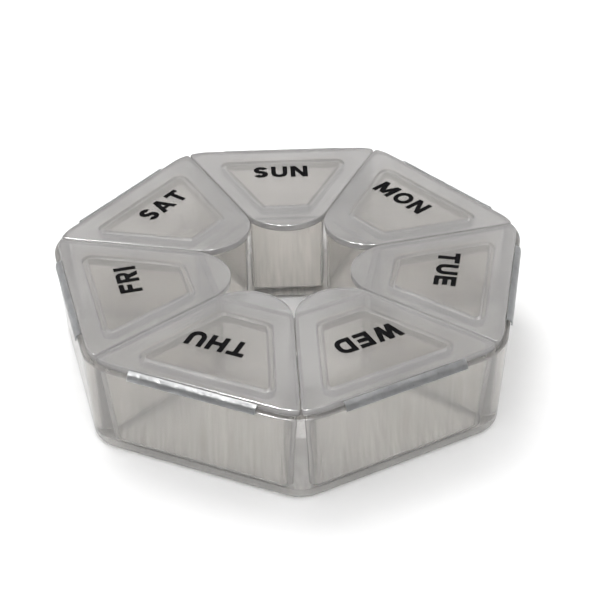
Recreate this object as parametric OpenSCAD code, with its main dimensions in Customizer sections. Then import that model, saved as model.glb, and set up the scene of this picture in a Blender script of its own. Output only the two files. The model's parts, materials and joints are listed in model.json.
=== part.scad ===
// Travel pill organizer: a seven-sided tray with seven compartments round an open
// central well, and a lid on a living hinge over each compartment.
// Millimetres, +Z up, the table is z = 0 and the origin is under the middle of the outline.
// Compartment 0 (SUN) faces +Y; the others follow clockwise seen from above.

/* [Tray] */
// Distance from the well's axis to a sharp corner at the rim
rim_r = 43; // [38:0.5:48]
// Height of the rim above the table
rim_h = 16.6; // [13:0.2:24]
// Plan radius of the seven corners at the rim
corner_r = 9.5; // [5:0.5:10]
// Plan radius of the seven corners at the foot of the wall
base_r = 6.5; // [5.5:0.5:10]
// How much further in each outer wall stands at the table than at the rim
draft = 0.9; // [0.2:0.1:1.4]
// Thickness of the outer wall at the floor
wall_t = 1.3; // [1:0.1:2]
// Thickness of the radial dividers
divider_t = 1.4; // [1:0.1:2]
// Thickness of the floor
floor_t = 1.1; // [0.8:0.1:2]
// Height of the foot ring that carries the floor clear of the table
foot_h = 0.5; // [0.4:0.1:1.4]
// Width of the foot ring
foot_w = 2.4; // [2:0.2:5]

/* [Well] */
// Distance from the axis to the flats of the open central well
well_a = 13.7; // [12:0.1:15]
// Thickness of the wall round the well
well_t = 1.2; // [0.8:0.1:2]

/* [Lids] */
// Thickness of a lid's plate
lid_t = 1.2; // [0.8:0.1:1.6]
// How far a lid's outer edge stands in from the outer wall
lid_setback = 0.8; // [0.6:0.1:1.2]
// Distance from the axis to the tip of a lid's thumb tab
tab_r = 10.7; // [9:0.1:12]
// Gap between neighbouring lids
lid_gap = 0.3; // [0.2:0.05:0.8]
// How far the plug rim under a lid stands in from the lid's long sides
plug_inset = 3.55; // [3:0.05:4.5]
// Depth of the plug rim below the lid
plug_h = 1.6; // [1:0.1:2.4]
// Thickness of the plug rim
plug_t = 0.9; // [0.7:0.1:1.2]

/* [Hinges] */
// Length of a hinge web along the lid's outer edge
web_l = 22; // [14:0.5:24]
// Thickness of a hinge web
web_t = 0.4; // [0.3:0.05:0.5]

/* [Legends] */
// Height of the legend letters
letter_h = 3.8; // [3:0.1:4.5]
// Distance from the axis to the middle of a legend
legend_r = 27.9; // [26:0.1:29]

/* [Hidden] */
$fn = 96;
sides = 7;
turn = 360 / sides;
half = turn / 2;
rim_a = rim_r * cos(half);
edge_h = 1;
edge_in = 0.7;
slice = 0.01;
floor_z = foot_h + floor_t;
pocket_a = well_a + well_t;
pocket_r = 1.2;
well_r = 0.9;
rest_gap = 0.05;
lid_z = rim_h + rest_gap;
top_z = lid_z + lid_t;
lid_a = rim_a - lid_setback;
tab_c = (tab_r - lid_gap / 2) / (1 - sin(half));
tab_round = tab_c * sin(half) - lid_gap / 2;
plug_v0 = 17.7;
plug_v1 = 34.6;
plug_r = 1.6;
web_leg = 0.3;
web_gap = 0.04;
web_in = lid_setback - 0.04;
ink_t = 0.06;
print_dx = -0.5;
print_dy = 1.6;
stroke = 0.23;
ink_gap = 0.16;
reach = 60;
front_y = (rim_a - corner_r) / cos(half) + corner_r;
back_y = rim_a + web_gap + web_t;
axis_y = (front_y - back_y) / 2;

// Moves its children from the well's axis to its place in the frame
module about_well() {
    translate([0, axis_y, 0]) children();
}

// Places its children at one side of the heptagon, counted clockwise from +Y
module side(k) {
    rotate([0, 0, -k * turn]) children();
}

// Clockwise outline of a heptagon whose flats stand at distance a
function heptagon(a) = [for (k = [0.5:sides]) a / cos(half) * [sin(k * turn), cos(k * turn)]];

// Unit outward normal of the edge from a to b of a clockwise outline
function edge_n(a, b) = [a[1] - b[1], b[0] - a[0]] / norm(b - a);

// Convex clockwise outline with every corner rounded to radius r
module rounded(p, r) {
    n = len(p);
    e = [for (i = [0:n - 1]) edge_n(p[i], p[(i + 1) % n])];
    c = [for (i = [0:n - 1])
        let (m = e[(i + n - 1) % n], q = e[i]) p[i] - r * (m + q) / (1 + m * q)];
    polygon([for (i = [0:n - 1], j = [0, 1]) c[i] + r * e[(i + n - 1 + j) % n]]);
    for (i = [0:n - 1])
        translate(c[i]) circle(r);
}

// Half width of a sector at distance v from the axis, its sides set in by d
function sector_w(v, d) = v * tan(half) - d / cos(half);

// Clockwise outline of a sector between two distances, its sides set in by d
function sector(v0, v1, d) = [[-sector_w(v0, d), v0], [-sector_w(v1, d), v1],
    [sector_w(v1, d), v1], [sector_w(v0, d), v0]];

// Inset of the outer wall at height z
function lean(z) = draft * (1 - z / rim_h);

// Plan radius of the outer corners at height z
function round_at(z) = base_r + (corner_r - base_r) * z / rim_h;

// Thin seven-sided slice of the leaning outer wall at height z, its outline set in by d
module wall_slice(z, d) {
    translate([0, 0, z])
        linear_extrude(slice)
            rounded(heptagon(rim_a - lean(z) - d), round_at(z) - d);
}

module tray_block() {
    hull() {
        wall_slice(0, edge_in);
        wall_slice(edge_h, 0);
        wall_slice(rim_h - slice, 0);
    }
}

module pockets() {
    intersection() {
        hull() {
            wall_slice(floor_z, wall_t);
            wall_slice(rim_h + 1, wall_t);
        }
        for (k = [0:sides - 1])
            side(k)
                translate([0, 0, floor_z - 1])
                    linear_extrude(rim_h)
                        rounded(sector(pocket_a, reach, divider_t / 2), pocket_r);
    }
}

module tray() {
    color([0.80, 0.81, 0.81, 0.55])
    about_well()
    difference() {
        tray_block();
        pockets();
        translate([0, 0, -1])
            linear_extrude(rim_h + 2) rounded(heptagon(well_a), well_r);
        translate([0, 0, -1])
            linear_extrude(1 + foot_h)
                rounded(heptagon(rim_a - draft - foot_w), base_r - foot_w);
    }
}

// Plate outline: a full round thumb tab running into the two long sides
module lid_outline() {
    t_v = tab_c - tab_round * sin(half);
    t_u = tab_round * cos(half);
    translate([0, tab_c]) circle(tab_round);
    polygon([[-t_u, t_v], [-sector_w(reach, lid_gap / 2), reach],
        [sector_w(reach, lid_gap / 2), reach], [t_u, t_v]]);
}

module plug_outline(inset) {
    rounded(sector(plug_v0 + inset, plug_v1 - inset, lid_gap / 2 + plug_inset + inset),
        plug_r - inset);
}

module lid(k) {
    color([0.82, 0.83, 0.83, 0.5])
    about_well()
    side(k) {
        translate([0, 0, lid_z])
            linear_extrude(lid_t)
                intersection() {
                    rounded(heptagon(lid_a), corner_r - lid_setback);
                    lid_outline();
                }
        translate([0, 0, lid_z - plug_h])
            linear_extrude(plug_h)
                difference() {
                    plug_outline(0);
                    plug_outline(plug_t);
                }
    }
}

// Folded web: up the outer wall, then a quarter turn over to the lid's edge
module hinge(k) {
    in_r = web_in;
    out_r = web_in + web_t;
    v0 = rim_a + web_gap - in_r;
    color([0.92, 0.93, 0.93, 0.8])
    about_well()
    side(k)
        translate([-web_l / 2, v0, rim_h])
            rotate([90, 0, 90])
                linear_extrude(web_l) {
                    difference() {
                        circle(out_r);
                        circle(in_r);
                        translate([-2 * out_r, -2 * out_r]) square([2 * out_r, 4 * out_r]);
                        translate([-2 * out_r, -2 * out_r]) square([4 * out_r, 2 * out_r]);
                    }
                    translate([in_r, -web_leg]) square([web_t, web_leg]);
                }
}

// Letters stand in a cell one unit high; w is the width of the cell
function bar(x0, y0, x1, y1) = [[x0, y0], [x0, y1], [x1, y1], [x1, y0]];

module letter_i(w) {
    polygon(bar(0, 0, w, 1));
}

module letter_t(w) {
    polygon(bar(0, 1 - stroke, w, 1));
    polygon(bar((w - stroke) / 2, 0, (w + stroke) / 2, 1));
}

module letter_h_cap(w) {
    polygon(bar(0, 0, stroke, 1));
    polygon(bar(w - stroke, 0, w, 1));
    polygon(bar(0, (1 - stroke) / 2, w, (1 + stroke) / 2));
}

module letter_e(w) {
    polygon(bar(0, 0, stroke, 1));
    polygon(bar(0, 0, w, stroke));
    polygon(bar(0, 1 - stroke, w, 1));
    polygon(bar(0, (1 - stroke) / 2, w - 0.05, (1 + stroke) / 2));
}

module letter_f(w) {
    polygon(bar(0, 0, stroke, 1));
    polygon(bar(0, 1 - stroke, w, 1));
    polygon(bar(0, 0.4, w - 0.06, 0.4 + stroke));
}

module letter_n(w) {
    polygon(bar(0, 0, stroke, 1));
    polygon(bar(w - stroke, 0, w, 1));
    polygon([[0, 1], [stroke * 1.1, 1], [w, 0], [w - stroke * 1.1, 0]]);
}

module letter_m(w) {
    slope = stroke * 1.15;
    polygon(bar(0, 0, stroke, 1));
    polygon(bar(w - stroke, 0, w, 1));
    polygon([[0, 1], [slope, 1], [w / 2 + slope / 2, 0.1], [w / 2 - slope / 2, 0.1]]);
    polygon([[w - slope, 1], [w, 1], [w / 2 + slope / 2, 0.1], [w / 2 - slope / 2, 0.1]]);
}

module letter_w(w) {
    slope = stroke * 1.05;
    q = (w - slope) / 4;
    polygon([[0, 1], [slope, 1], [q + slope, 0], [q, 0]]);
    polygon([[2 * q, 1], [2 * q + slope, 1], [q + slope, 0], [q, 0]]);
    polygon([[2 * q, 1], [2 * q + slope, 1], [3 * q + slope, 0], [3 * q, 0]]);
    polygon([[4 * q, 1], [4 * q + slope, 1], [3 * q + slope, 0], [3 * q, 0]]);
}

module letter_a(w) {
    foot = stroke * 1.08;
    lean_in = (w - foot) / 2;
    low = 0.19;
    high = 0.38;
    apex = (w / 2 - foot) / lean_in;
    difference() {
        polygon([[0, 0], [lean_in, 1], [w - lean_in, 1], [w, 0]]);
        polygon([[foot, -0.1], [foot, 0], [foot + low * lean_in, low],
            [w - foot - low * lean_in, low], [w - foot, 0], [w - foot, -0.1]]);
        polygon([[foot + high * lean_in, high], [w / 2, apex], [w - foot - high * lean_in, high]]);
    }
}

// Points on an arc about c from angle a0 to a1, its width stretched by sx
function arc(c, r, a0, a1, sx = 1) = [for (i = [0:12])
    let (t = a0 + (a1 - a0) * i / 12) c + r * [sx * cos(t), sin(t)]];

module letter_u(w) {
    r = w / 2;
    polygon(concat([[0, 1]], arc([r, r], r, 180, 360), [[w, 1], [w - stroke, 1]],
        arc([r, r], r - stroke, 360, 180), [[stroke, 1]]));
}

// Upright ring of width w and height 1, its outline set in by d
module loop(w, d) {
    r = w / 2;
    polygon(concat(arc([r, 1 - r], r - d, 0, 180), arc([r, r], r - d, 180, 360)));
}

module letter_o(w) {
    difference() {
        loop(w, 0);
        loop(w, stroke);
    }
}

// Outline with a flat left side at x = x0 and a right side rounded to r, set in by d
module bow(x0, y0, w, r, d) {
    polygon(concat([[x0, y0 + d], [x0, 1 - d]], arc([w - r, 1 - r], r - d, 90, 0),
        arc([w - r, y0 + r], r - d, 0, -90)));
}

module letter_d(w) {
    difference() {
        bow(0, 0, w, 0.42, 0);
        bow(stroke, 0, w, 0.42, stroke);
    }
}

module letter_r(w) {
    mid = 0.4;
    difference() {
        union() {
            bow(0, mid, w - 0.03, 0.28, 0);
            polygon(bar(0, 0, stroke, 0.8));
            polygon([[w - stroke * 1.2, 0], [w * 0.3, 0.52], [w * 0.68, 0.52], [w, 0]]);
        }
        bow(stroke, mid, w - 0.03, 0.28, stroke * 0.88);
    }
}

module letter_s(w) {
    r = (1 + stroke) / 4;
    sx = w / 2 / r;
    top = [w / 2, 1 - r];
    low = [w / 2, r];
    polygon(concat(arc(top, r, 22, 270, sx), arc(low, r - stroke, 88, -158, sx),
        arc(low, r, -158, 90, sx), arc(top, r - stroke, 268, 22, sx)));
}

widths = [["s", 0.70], ["u", 0.80], ["n", 0.84], ["m", 1.05], ["o", 0.92], ["t", 0.78],
    ["e", 0.70], ["w", 1.22], ["d", 0.82], ["h", 0.82], ["f", 0.66], ["r", 0.80],
    ["i", stroke], ["a", 0.95]];

function width_of(c) = widths[search([c], widths)[0]][1];

module letter(c) {
    w = width_of(c);
    if (c == "s") letter_s(w);
    if (c == "u") letter_u(w);
    if (c == "n") letter_n(w);
    if (c == "m") letter_m(w);
    if (c == "o") letter_o(w);
    if (c == "t") letter_t(w);
    if (c == "e") letter_e(w);
    if (c == "w") letter_w(w);
    if (c == "d") letter_d(w);
    if (c == "h") letter_h_cap(w);
    if (c == "f") letter_f(w);
    if (c == "r") letter_r(w);
    if (c == "i") letter_i(w);
    if (c == "a") letter_a(w);
}

// Three letters centred on the lid, their tops towards the outer edge
module legend(k, a, b, c) {
    wa = width_of(a);
    wb = width_of(b);
    wc = width_of(c);
    total = wa + wb + wc + 2 * ink_gap;
    color([0.03, 0.03, 0.03])
    translate([print_dx, axis_y + print_dy, top_z])
        side(k)
            translate([-total * letter_h / 2, legend_r - letter_h / 2, 0])
                linear_extrude(ink_t)
                    scale([letter_h, letter_h]) {
                        letter(a);
                        translate([wa + ink_gap, 0]) letter(b);
                        translate([wa + wb + 2 * ink_gap, 0]) letter(c);
                    }
}

module lid_sun() { lid(0); }
module lid_mon() { lid(1); }
module lid_tue() { lid(2); }
module lid_wed() { lid(3); }
module lid_thu() { lid(4); }
module lid_fri() { lid(5); }
module lid_sat() { lid(6); }
module hinge_sun() { hinge(0); }
module hinge_mon() { hinge(1); }
module hinge_tue() { hinge(2); }
module hinge_wed() { hinge(3); }
module hinge_thu() { hinge(4); }
module hinge_fri() { hinge(5); }
module hinge_sat() { hinge(6); }
module legend_sun() { legend(0, "s", "u", "n"); }
module legend_mon() { legend(1, "m", "o", "n"); }
module legend_tue() { legend(2, "t", "u", "e"); }
module legend_wed() { legend(3, "w", "e", "d"); }
module legend_thu() { legend(4, "t", "h", "u"); }
module legend_fri() { legend(5, "f", "r", "i"); }
module legend_sat() { legend(6, "s", "a", "t"); }

tray();
lid_sun();
lid_mon();
lid_tue();
lid_wed();
lid_thu();
lid_fri();
lid_sat();
hinge_sun();
hinge_mon();
hinge_tue();
hinge_wed();
hinge_thu();
hinge_fri();
hinge_sat();
legend_sun();
legend_mon();
legend_tue();
legend_wed();
legend_thu();
legend_fri();
legend_sat();
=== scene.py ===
import json
import math

import bmesh
import bpy
from mathutils import Matrix, Vector, noise
from mathutils.geometry import tessellate_polygon


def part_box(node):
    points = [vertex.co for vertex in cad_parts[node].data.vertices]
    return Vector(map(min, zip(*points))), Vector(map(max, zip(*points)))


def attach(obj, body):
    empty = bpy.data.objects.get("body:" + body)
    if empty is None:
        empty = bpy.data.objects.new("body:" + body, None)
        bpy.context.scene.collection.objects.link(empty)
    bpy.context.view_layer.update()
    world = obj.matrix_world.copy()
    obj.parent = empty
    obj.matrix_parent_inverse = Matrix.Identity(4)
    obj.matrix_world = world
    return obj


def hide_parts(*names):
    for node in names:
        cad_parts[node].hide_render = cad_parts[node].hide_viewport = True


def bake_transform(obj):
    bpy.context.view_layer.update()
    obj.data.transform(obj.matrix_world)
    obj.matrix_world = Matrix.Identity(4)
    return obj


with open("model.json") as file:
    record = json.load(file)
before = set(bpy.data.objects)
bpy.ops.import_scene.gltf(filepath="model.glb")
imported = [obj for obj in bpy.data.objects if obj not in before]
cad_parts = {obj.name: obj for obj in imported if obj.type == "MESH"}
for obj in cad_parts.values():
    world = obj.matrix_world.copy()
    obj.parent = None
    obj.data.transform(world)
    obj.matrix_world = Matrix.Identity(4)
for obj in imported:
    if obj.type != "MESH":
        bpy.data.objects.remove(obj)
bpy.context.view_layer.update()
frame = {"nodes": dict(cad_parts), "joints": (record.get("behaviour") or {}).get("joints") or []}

# ---------------------------------------------------------------- sizes, in millimetres

MM = 0.001
DAYS = ("sun", "mon", "tue", "wed", "thu", "fri", "sat")
TURN = math.tau / len(DAYS)
HALF = TURN / 2
SIN, COS, TAN = math.sin(HALF), math.cos(HALF), math.tan(HALF)


def box_mm(node):
    """Lowest and highest corner of a CAD node, in millimetres."""
    low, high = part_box(node)
    return low / MM, high / MM


# The well's axis: the seven hinge joints stand evenly round it
axis_y = sum(joint["pos_m"][1] for joint in frame["joints"]) / len(DAYS) / MM
tray_low, tray_high = box_mm("tray")
lid_low, lid_high = box_mm("lid_sun")
web_low, web_high = box_mm("hinge_sun")

rim_z = tray_high.z
rim_a = tray_high.y - axis_y
rim_round = 9.5
base_round = 6.5
draft = 0.9
wall_t = 1.3
divider_t = 1.4
floor_z = 1.6
foot_h = 0.5
foot_w = 2.4
foot_top = 2.0
base_edge_h = 1.0
base_edge_in = 0.7
rim_edge = 0.25
pocket_in = 14.9
pocket_fillet = 1.2
pocket_outer_fillet = 1.4
pocket_draft = 0.25
floor_fillet = 0.5
well_a = 13.7
well_round = 0.9
well_draft = 0.1

rest_gap = 0.05
lid_z = rim_z + rest_gap
lid_top = lid_high.z
lid_a = lid_high.y - axis_y
lid_round = rim_round - (rim_a - lid_a)
lid_gap = 0.14
lid_corner = 0.7
tab_c = (lid_low.y - axis_y - lid_gap / 2) / (1 - SIN)
tab_r = tab_c * SIN - lid_gap / 2
lid_edge = 0.28
under_edge = 0.15
plug_low = lid_low.z
plug_v0 = 17.7
plug_v1 = 34.6
plug_inset = 3.55
plug_round = 1.6
plug_t = 0.9
plug_root = 0.2
plug_lip = 0.3

web_l = web_high.x - web_low.x
web_out = web_high.y - axis_y
web_foot = web_low.z
web_t = 0.4
web_lap = 0.04
web_thin = 0.75


# ---------------------------------------------------------------- outlines


def arc(centre, radius, start, end, steps):
    """Points on an arc, angles in radians from +u towards +v."""
    angles = [start + (end - start) * i / steps for i in range(steps + 1)]
    return [(centre[0] + radius * math.cos(t), centre[1] + radius * math.sin(t)) for t in angles]


def mirrored(right):
    """Closed outline from its right half, which runs from the inner end to the outer end."""
    left = [(-u, v) for u, v in reversed(right)]
    points = right + left
    return [p for i, p in enumerate(points) if math.dist(p, points[i - 1]) > 1e-6]


def corner_centre(v, inset):
    """Centre of a corner circle at distance v whose edge stands inset from a sector's side."""
    return (v * TAN - inset / COS, v)


def wedge(inner, inner_r, side, a, big_r, small_r, grow=0.0):
    """Sector outline that follows a rounded heptagon at its outer end. inner is the centre of the
    inner corner's circle, side the sides' inset, and grow moves the whole outline outwards."""
    seam = (SIN, COS)
    inward = (-COS, SIN)
    core = (a - big_r) / COS
    core_c = (seam[0] * core, seam[1] * core)
    off = side + small_r
    along = math.sqrt((big_r - small_r) ** 2 - off**2)
    small_c = tuple(core_c[i] + seam[i] * along + inward[i] * off for i in (0, 1))
    turn_in = math.asin(off / (big_r - small_r))
    seam_angle = math.pi / 2 - HALF
    right = arc(inner, inner_r + grow, -math.pi / 2, -HALF, steps=14)
    right += arc(small_c, small_r + grow, -HALF, seam_angle + turn_in, steps=8)
    right += arc(core_c, big_r + grow, seam_angle + turn_in, math.pi / 2, steps=6)
    return mirrored(right)


def trapezoid(v0, v1, side, r, grow=0.0):
    """Plain sector outline between two distances with every corner rounded to r."""
    right = arc(corner_centre(v0 + r, side + r), r + grow, -math.pi / 2, -HALF, steps=8)
    right += arc(corner_centre(v1 - r, side + r), r + grow, -HALF, math.pi / 2, steps=12)
    return mirrored(right)


def heptagon(a, r):
    """Rounded heptagon whose flats stand at distance a."""
    corner_steps = 12
    core = (a - r) / COS
    points = []
    for k in range(len(DAYS)):
        middle = math.pi / 2 - HALF + k * TURN
        centre = (core * math.cos(middle), core * math.sin(middle))
        points += arc(centre, r, middle - HALF, middle + HALF, corner_steps)
    return points


def turned(points, k):
    """Points of side k, moved from its own u, v axes to the frame's x, y about the well."""
    c, s = math.cos(k * TURN), math.sin(k * TURN)
    return [(u * c + v * s, v * c - u * s) for u, v in points]


# ---------------------------------------------------------------- mesh building


class Shell:
    """A closed mesh made of loops: bands between loops, and flat faces with holes."""

    def __init__(self):
        self.points = []
        self.faces = []
        self.slots = []

    def loop(self, outline, z):
        start = len(self.points)
        self.points += [(x, y, z) for x, y in outline]
        return list(range(start, len(self.points)))

    def band(self, low, high, slot=0):
        n = len(low)
        for i in range(n):
            j = (i + 1) % n
            self.faces.append((low[i], low[j], high[j], high[i]))
            self.slots.append(slot)

    def bands(self, loops, slot=0):
        for low, high in zip(loops, loops[1:]):
            self.band(low, high, slot)

    def flat(self, outer, holes=(), slot=0):
        rings = [outer, *holes]
        order = [i for ring in rings for i in ring]
        outlines = [[Vector(self.points[i]) for i in ring] for ring in rings]
        for triangle in tessellate_polygon(outlines):
            self.faces.append(tuple(order[i] for i in triangle))
            self.slots.append(slot)

    def build(self, name, k=0, materials=()):
        """The mesh as an object, turned to side k and moved to the well's axis."""
        c, s = math.cos(k * TURN), math.sin(k * TURN)
        places = [
            ((x * c + y * s) * MM, (y * c - x * s + axis_y) * MM, z * MM) for x, y, z in self.points
        ]
        mesh = bpy.data.meshes.new(name)
        mesh.from_pydata(places, [], self.faces)
        work = bmesh.new()
        work.from_mesh(mesh)
        for face, slot in zip(work.faces, self.slots):
            face.material_index = slot
            face.smooth = True
        bmesh.ops.remove_doubles(work, verts=work.verts, dist=1e-7)
        bmesh.ops.recalc_face_normals(work, faces=work.faces)
        sharp = math.radians(50)
        for edge in work.edges:
            edge.smooth = len(edge.link_faces) == 2 and edge.calc_face_angle(0) < sharp
        work.to_mesh(mesh)
        work.free()
        for material in materials:
            mesh.materials.append(material)
        piece = bpy.data.objects.new(name, mesh)
        bpy.context.scene.collection.objects.link(piece)
        weighted = piece.modifiers.new("even_shading", "WEIGHTED_NORMAL")
        weighted.keep_sharp = True
        weighted.weight = 100
        return piece


def quarter(steps, rise, run):
    """(out, up) points of a quarter ellipse that starts upright, out to run and up to rise."""
    for i in range(steps + 1):
        t = math.pi / 2 * i / steps
        yield run * (1 - math.cos(t)), rise * math.sin(t)


# ---------------------------------------------------------------- materials


class Nodes:
    """Short names for building a material's node tree."""

    def __init__(self, name):
        self.material = bpy.data.materials.new(name)
        self.material.use_nodes = True
        self.tree = self.material.node_tree
        self.shader = self.tree.nodes["Principled BSDF"]
        self.place = self.add("ShaderNodeTexCoord").outputs["Object"]

    def add(self, kind, **settings):
        node = self.tree.nodes.new(kind)
        for key, value in settings.items():
            setattr(node, key, value)
        return node

    def link(self, out, socket):
        self.tree.links.new(out, socket)

    def stretched(self, scale):
        """Object coordinates scaled by different amounts along each axis."""
        mapping = self.add("ShaderNodeMapping")
        mapping.inputs["Scale"].default_value = scale
        self.link(self.place, mapping.inputs["Vector"])
        return mapping.outputs["Vector"]

    def noise(self, vector, scale, detail=2.0, rough=0.5):
        node = self.add("ShaderNodeTexNoise")
        node.inputs["Scale"].default_value = scale
        node.inputs["Detail"].default_value = detail
        node.inputs["Roughness"].default_value = rough
        self.link(vector, node.inputs["Vector"])
        return node.outputs["Fac"]

    def ramp(self, value, stops):
        """Colour ramp; stops are (position, grey or colour)."""
        node = self.add("ShaderNodeValToRGB")
        ramp = node.color_ramp
        while len(ramp.elements) < len(stops):
            ramp.elements.new(0.5)
        for element, (position, colour) in zip(ramp.elements, stops):
            element.position = position
            rgb = colour if isinstance(colour, tuple) else (colour,) * 3
            element.color = (*rgb, 1)
        self.link(value, node.inputs["Fac"])
        return node.outputs["Color"]

    def mix(self, factor, a, b):
        node = self.add("ShaderNodeMix", data_type="RGBA")
        node.inputs["Factor"].default_value = factor
        self.link(a, node.inputs["A"])
        self.link(b, node.inputs["B"])
        return node.outputs["Result"]

    def bump(self, *layers):
        """Normal from (height, strength, distance in metres) layers, one on the other."""
        before = None
        for height, strength, distance in layers:
            node = self.add("ShaderNodeBump")
            node.inputs["Strength"].default_value = strength
            node.inputs["Distance"].default_value = distance
            self.link(height, node.inputs["Height"])
            if before is not None:
                self.link(before, node.inputs["Normal"])
            before = node.outputs["Normal"]
        self.link(before, self.shader.inputs["Normal"])


PLASTIC_IOR = 1.49


def plastic(name, dark, light, transmission, rough, streak=0.0):
    """Natural polypropylene. dark and light bound its cloudy tint, transmission is the share of
    light it passes, rough its mean roughness and streak how dark its painted streaks are: the
    look of a streaked surface seen through the plastic, painted into its colour."""
    m = Nodes(name)
    cloud = m.noise(m.place, 90, detail=4, rough=0.55)
    tint = m.ramp(cloud, [(0.3, dark), (0.7, light)])
    # Painted streaks: a streaked surface seen through the plastic, painted on as colour
    if streak:
        painted_streak_noise = m.noise(m.stretched((1500, 90, 40)), 1, detail=5, rough=0.65)
        painted_streak_dark = tuple(c * (1 - streak) for c in dark)
        painted_streaks = m.ramp(painted_streak_noise, [(0.32, painted_streak_dark), (0.68, light)])
        tint = m.mix(0.6, tint, painted_streaks)
    m.link(tint, m.shader.inputs["Base Color"])
    grain = m.noise(m.place, 300, detail=3, rough=0.6)
    gloss = m.ramp(grain, [(0.25, rough * 0.9), (0.75, rough * 1.1)])
    m.link(gloss, m.shader.inputs["Roughness"])
    m.shader.inputs["IOR"].default_value = PLASTIC_IOR
    m.shader.inputs["Transmission Weight"].default_value = transmission
    ripple = m.noise(m.place, 120, detail=2)
    m.bump((ripple, 0.1, 0.0004), (grain, 0.05, 0.0001))
    return m.material


window_pp = plastic(
    "polypropylene_clear", dark=(0.465, 0.452, 0.435), light=(0.525, 0.512, 0.495),
    transmission=0.84, rough=0.12,
)
border_pp = plastic(
    "polypropylene_frosted", dark=(0.44, 0.434, 0.43), light=(0.50, 0.494, 0.49),
    transmission=0.78, rough=0.15,
)
# streak paints faint streaks of a surface seen through the wall into its colour
wall_pp = plastic(
    "polypropylene_wall", dark=(0.55, 0.537, 0.523), light=(0.64, 0.627, 0.612),
    transmission=0.76, rough=0.15, streak=0.12,
)
inner_pp = plastic(
    "polypropylene_inner", dark=(0.92, 0.905, 0.88), light=(0.97, 0.955, 0.93),
    transmission=0.92, rough=0.12,
)
# streak paints faint streaks of a surface seen through the well's walls into its colour
well_pp = plastic(
    "polypropylene_well", dark=(0.92, 0.905, 0.885), light=(0.97, 0.955, 0.935),
    transmission=0.86, rough=0.15, streak=0.12,
)
# Tray floor: its grey and strong streaks are a painted view of a darker, streaked surface seen
# through it, so it passes little light
floor_pp = plastic(
    "polypropylene_floor", dark=(0.56, 0.543, 0.515), light=(0.78, 0.758, 0.722),
    transmission=0.12, rough=0.2, streak=0.5,
)
foot_pp = plastic(
    "polypropylene_foot", dark=(0.50, 0.49, 0.475), light=(0.58, 0.57, 0.55),
    transmission=0.6, rough=0.2,
)


def stressed_plastic():
    """Hinge web: polypropylene clouded and crinkled where it has been folded."""
    m = Nodes("polypropylene_stressed")
    crinkle = m.noise(m.place, 1500, detail=3, rough=0.7)
    blotch = m.noise(m.place, 450, detail=2)
    tint = m.ramp(blotch, [(0.35, (0.29, 0.296, 0.302)), (0.65, (0.38, 0.387, 0.393))])
    m.link(tint, m.shader.inputs["Base Color"])
    gloss = m.ramp(crinkle, [(0.35, 0.45), (0.75, 0.24)])
    m.link(gloss, m.shader.inputs["Roughness"])
    m.shader.inputs["IOR"].default_value = PLASTIC_IOR
    m.shader.inputs["Specular IOR Level"].default_value = 0.05
    m.shader.inputs["Transmission Weight"].default_value = 0.82
    m.bump((blotch, 0.3, 0.0005), (crinkle, 0.2, 0.0002))
    return m.material


def ink():
    """Pad-printed black: a slightly uneven matte film."""
    m = Nodes("printed_ink")
    film = m.noise(m.place, 2600, detail=3, rough=0.6)
    tint = m.ramp(film, [(0.3, (0.004, 0.004, 0.004)), (0.75, (0.013, 0.013, 0.014))])
    m.link(tint, m.shader.inputs["Base Color"])
    gloss = m.ramp(film, [(0.3, 0.45), (0.7, 0.65)])
    m.link(gloss, m.shader.inputs["Roughness"])
    m.shader.inputs["Specular IOR Level"].default_value = 0.0
    m.bump((film, 0.15, 0.00004))
    return m.material


web_pp = stressed_plastic()
ink_black = ink()


# ---------------------------------------------------------------- tray


def lean(z):
    """Inset of the outer wall at height z."""
    return draft * (1 - z / rim_z)


def wall_loop(z, inset):
    r = base_round + (rim_round - base_round) * z / rim_z
    return heptagon(rim_a - lean(z) - inset, r - inset)


def pocket_outline(z, grow=0.0):
    """Outline of a compartment at height z; grow widens it."""
    depth = (rim_z - z) / (rim_z - floor_z)
    side = divider_t / 2 + pocket_draft * depth
    v0 = pocket_in + pocket_draft * depth
    centre = corner_centre(v0 + pocket_fillet, side + pocket_fillet)
    r = base_round + (rim_round - base_round) * z / rim_z - wall_t
    return wedge(centre, pocket_fillet, side, rim_a - lean(z) - wall_t, r, pocket_outer_fillet, grow)


# Material slots of the tray's mesh, in the order of tray_plastics
WALL, FLOOR, INNER, FOOT, WELL = range(5)
tray_plastics = (wall_pp, floor_pp, inner_pp, foot_pp, well_pp)


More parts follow.
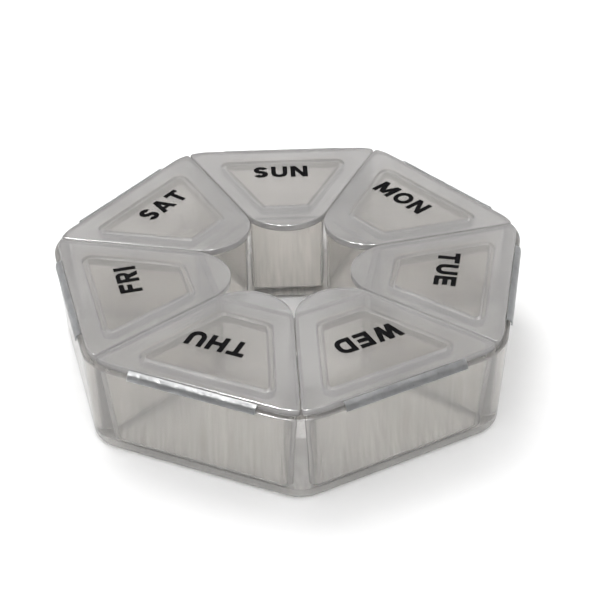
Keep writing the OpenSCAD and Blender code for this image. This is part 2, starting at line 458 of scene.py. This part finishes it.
def build_tray():
    shell = Shell()
    base_steps, rim_steps, fillet_steps, foot_steps = 5, 4, 5, 3
    outer = [
        shell.loop(wall_loop(base_edge_h - up, base_edge_in * side / base_edge_h), base_edge_h - up)
        for side, up in quarter(base_steps, base_edge_h, base_edge_h)
    ][::-1]
    foot_bands = len(outer) + 1
    outer += [shell.loop(wall_loop(z, 0), z) for z in (foot_top, rim_z * 0.5, rim_z - rim_edge)]
    outer += [
        shell.loop(wall_loop(rim_z, side), rim_z - rim_edge + up)
        for side, up in list(quarter(rim_steps, rim_edge, rim_edge))[1:]
    ]
    shell.bands(outer[:foot_bands], FOOT)
    shell.bands(outer[foot_bands - 1 :], WALL)

    mouths = []
    for k in range(len(DAYS)):
        loops = [
            shell.loop(turned(pocket_outline(rim_z, rim_edge - side), k), rim_z - rim_edge + up)
            for side, up in list(quarter(rim_steps, rim_edge, rim_edge))[::-1]
        ]
        loops.append(shell.loop(turned(pocket_outline(rim_z * 0.5), k), rim_z * 0.5))
        loops += [
            shell.loop(turned(pocket_outline(floor_z, -side), k), floor_z + floor_fillet - up)
            for side, up in quarter(fillet_steps, floor_fillet, floor_fillet)
        ]
        shell.bands(loops, INNER)
        shell.flat(loops[-1], slot=FLOOR)
        mouths.append(loops[0])

    well = [
        shell.loop(heptagon(well_a + rim_edge - side, well_round), rim_z - rim_edge + up)
        for side, up in list(quarter(rim_steps, rim_edge, rim_edge))[::-1]
    ]
    well_foot_a = well_a - well_draft
    well.append(shell.loop(heptagon(well_foot_a, well_round), foot_h + rim_edge))
    well += [
        shell.loop(heptagon(well_foot_a + side, well_round + side), foot_h + rim_edge - up)
        for side, up in list(quarter(foot_steps, rim_edge, rim_edge))[1:]
    ]
    shell.bands(well, WELL)
    shell.flat(outer[-1], [*mouths, well[0]], slot=INNER)

    recess_a = rim_a - draft - foot_w
    recess = [
        shell.loop(heptagon(recess_a - side, base_round - foot_w), up)
        for side, up in quarter(foot_steps, foot_h, foot_h)
    ]
    shell.bands(recess, FOOT)
    shell.flat(outer[0], [recess[0]], slot=FOOT)
    shell.flat(recess[-1], [well[-1]], slot=FLOOR)
    return shell.build("tray_shell", materials=tray_plastics)


tray = build_tray()
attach(tray, "tray")
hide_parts("tray")


# ---------------------------------------------------------------- lids


def plate_outline(grow):
    return wedge((0, tab_c), tab_r, lid_gap / 2, lid_a, lid_round, lid_corner, grow)


def plug_outline(grow):
    return trapezoid(plug_v0, plug_v1, lid_gap / 2 + plug_inset, plug_round, grow)


# Material slots of a lid's mesh
BORDER, WINDOW = range(2)


def build_lid(day, k):
    shell = Shell()
    edge_steps, rim_steps = 5, 3
    # Eased lower edge: (out, up) as shares of under_edge
    plate = [
        shell.loop(plate_outline(-under_edge + under_edge * out), lid_z + under_edge * up)
        for out, up in ((0, 0), (0.7, 0.3), (1, 1))
    ]
    plate += [
        shell.loop(plate_outline(-side), lid_top - lid_edge + up)
        for side, up in quarter(edge_steps, lid_edge, lid_edge)
    ]
    shell.bands(plate, BORDER)
    window = shell.loop(plug_outline(0), lid_top)
    shell.flat(plate[-1], [window], slot=BORDER)
    shell.flat(window, slot=WINDOW)

    # Plug rim: down its outer face, round its lip, up its inner face
    rim = [
        shell.loop(plug_outline(plug_root - side), lid_z - plug_root + up)
        for side, up in list(quarter(rim_steps, plug_root, plug_root))[::-1]
    ]
    rim += [
        shell.loop(plug_outline(-side), plug_low + plug_lip - up)
        for side, up in quarter(rim_steps, plug_lip, plug_lip)
    ]
    rim += [
        shell.loop(plug_outline(-plug_t + side), plug_low + plug_lip - up)
        for side, up in list(quarter(rim_steps, plug_lip, plug_lip))[::-1]
    ]
    rim += [
        shell.loop(plug_outline(-plug_t - side), lid_z - plug_root + up)
        for side, up in quarter(rim_steps, plug_root, plug_root)
    ]
    shell.bands(rim, BORDER)
    shell.flat(plate[0], [rim[0]], slot=BORDER)
    shell.flat(rim[-1], slot=WINDOW)
    return shell.build(f"lid_plate_{day}", k, (border_pp, window_pp))


# ---------------------------------------------------------------- hinge webs


def web_path():
    """(v, z) points of the web's middle line: up the tray's wall, then over to the lid's edge."""
    foot_gap = 0.05
    fold_steps = 10
    fold_end = math.pi / 2 * 0.97
    fold_v = web_out - web_t - (rim_a - lid_a - web_lap)
    radius = web_out - web_t / 2 - fold_v
    wall_v = web_out - web_t / 2
    path = [(wall_v, web_foot + foot_gap), (wall_v, (web_foot + rim_z) / 2)]
    fold = arc((0, 0), radius, 0, fold_end, fold_steps)
    return path + [(fold_v + u, rim_z + w) for u, w in fold]


def crinkle_height(u, share, k):
    """How far the web stands off its middle line, at u along it and share of the way across."""
    wave = noise.noise(Vector((u * 1.4, share * 1.5, k * 7.3)))
    fine = noise.noise(Vector((u * 4.3, share * 5.0, k * 3.1 + 20)))
    return math.sin(math.pi * share) * (0.07 * wave + 0.05 * fine - 0.05)


def build_web(day, k):
    """Folded strip from the tray's wall over to the lid's edge, crinkled along its length."""
    along = 132
    fade_length = 1.5
    path = web_path()
    last = len(path) - 1
    shell = Shell()
    loops = []
    for i in range(along + 1):
        u = web_l * (i / along - 0.5)
        fade = min(1.0, min(i, along - i) / along * web_l / fade_length)
        outside, inside = [], []
        for row, (v, z) in enumerate(path):
            share = row / last
            before, after = path[max(row - 1, 0)], path[min(row + 1, last)]
            length = math.dist(before, after)
            tangent_v = (after[0] - before[0]) / length
            tangent_z = (after[1] - before[1]) / length
            lift = fade * crinkle_height(u, share, k)
            thick = web_t * web_thin * (0.55 + 0.45 * math.cos(2 * math.pi * share) ** 2)
            for side, off in ((outside, lift + thick / 2), (inside, lift - thick / 2)):
                side.append((u, v + tangent_z * off, z - tangent_v * off))
        start = len(shell.points)
        shell.points += outside + inside[::-1]
        loops.append(list(range(start, len(shell.points))))
    shell.bands(loops)
    for end in (loops[0], loops[-1]):
        for j in range(last):
            shell.faces.append((end[j], end[j + 1], end[-2 - j], end[-1 - j]))
            shell.slots.append(0)
    return shell.build(f"hinge_web_{day}", k, (web_pp,))


for k, day in enumerate(DAYS):
    lid = build_lid(day, k)
    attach(lid, f"lid_{day}")
    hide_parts(f"lid_{day}")

    web = build_web(day, k)
    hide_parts(f"hinge_{day}")
    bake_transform(web)

    print_node = frame["nodes"][f"legend_{day}"]
    print_node.data.materials.clear()
    print_node.data.materials.append(ink_black)


# ---------------------------------------------------------------- floor, light and camera


def build_floor():
    m = Nodes("studio_floor")
    paper = m.noise(m.place, 60, detail=3)
    m.link(m.ramp(paper, [(0.3, 0.86), (0.7, 0.89)]), m.shader.inputs["Base Color"])
    m.shader.inputs["Roughness"].default_value = 0.9
    m.shader.inputs["Specular IOR Level"].default_value = 0.2
    size = 1.6
    below_tray = 0.00005
    mesh = bpy.data.meshes.new("floor")
    corners = [(-size, -size, 0), (size, -size, 0), (size, size, 0), (-size, size, 0)]
    mesh.from_pydata(corners, [], [(0, 1, 2, 3)])
    mesh.materials.append(m.material)
    floor = bpy.data.objects.new("floor", mesh)
    floor.location.z = tray_low.z * MM - below_tray
    bpy.context.scene.collection.objects.link(floor)
    return floor


build_floor()

world = bpy.data.worlds.new("studio")
bpy.context.scene.world = world
world.use_nodes = True
background = world.node_tree.nodes["Background"]
background.inputs["Color"].default_value = (1.0, 1.0, 1.0, 1)
background.inputs["Strength"].default_value = 1.15


def area_light(name, position, target, size, power, only_gloss=False):
    data = bpy.data.lights.new(name, "AREA")
    data.shape = "DISK"
    data.size = size
    data.energy = power
    light = bpy.data.objects.new(name, data)
    light.location = position
    light.rotation_euler = (Vector(target) - Vector(position)).to_track_quat("-Z", "Y").to_euler()
    if only_gloss:
        light.visible_diffuse = False
        light.visible_transmission = False
        light.visible_volume_scatter = False
    bpy.context.scene.collection.objects.link(light)
    return light


centre = Vector((0, axis_y * MM, rim_z * MM))
softbox_at = (-0.25, 0.5, 0.9)
softbox = area_light("softbox", softbox_at, centre, size=0.7, power=4.5)
softbox.visible_glossy = False

# Camera: its direction from the object in degrees, distance and focal length in millimetres
view_azimuth = -2.31
view_elevation = 35.39
view_roll = -0.63
view_distance = 276.7
focal_length = 93.72
view_target = Vector((1.74, 1.593 + axis_y, 8.0)) * MM


def camera_axes(azimuth, elevation, roll):
    az, el, ro = (math.radians(x) for x in (azimuth, elevation, roll))
    back = Vector((math.sin(az) * math.cos(el), -math.cos(az) * math.cos(el), math.sin(el)))
    right = (-back).cross(Vector((0, 0, 1))).normalized()
    up = right.cross(-back)
    return right * math.cos(ro) + up * math.sin(ro), up * math.cos(ro) - right * math.sin(ro), back


right, up, back = camera_axes(view_azimuth, view_elevation, view_roll)
camera_data = bpy.data.cameras.new("camera")
camera_data.lens = focal_length
camera_data.sensor_width = 36
camera_data.clip_start = 0.01
camera = bpy.data.objects.new("camera", camera_data)
camera.matrix_world = Matrix.Translation(view_target + back * view_distance * MM) @ Matrix(
    (right, up, back)
).transposed().to_4x4()
bpy.context.scene.collection.objects.link(camera)
bpy.context.scene.camera = camera

# Three small lamps for glints on rounded edges, hidden from diffuse and transmitted rays. Each
# stands where a surface whose normal is facing mirrors it to the camera.
lamp_swings = (-25, -13, 3)
lamp_tilt = math.radians(58)
lamp_distance = 0.9
for number, degrees in enumerate(lamp_swings):
    swing = math.radians(degrees)
    facing = Vector(
        (
            math.sin(swing) * math.cos(lamp_tilt),
            -math.cos(swing) * math.cos(lamp_tilt),
            math.sin(lamp_tilt),
        )
    )
    away = 2 * facing.dot(back) * facing - back
    lamp_at = centre + away * lamp_distance
    area_light(f"lamp_{number}", lamp_at, centre, size=0.02, power=12, only_gloss=True)

bpy.context.scene.view_settings.view_transform = "Standard"
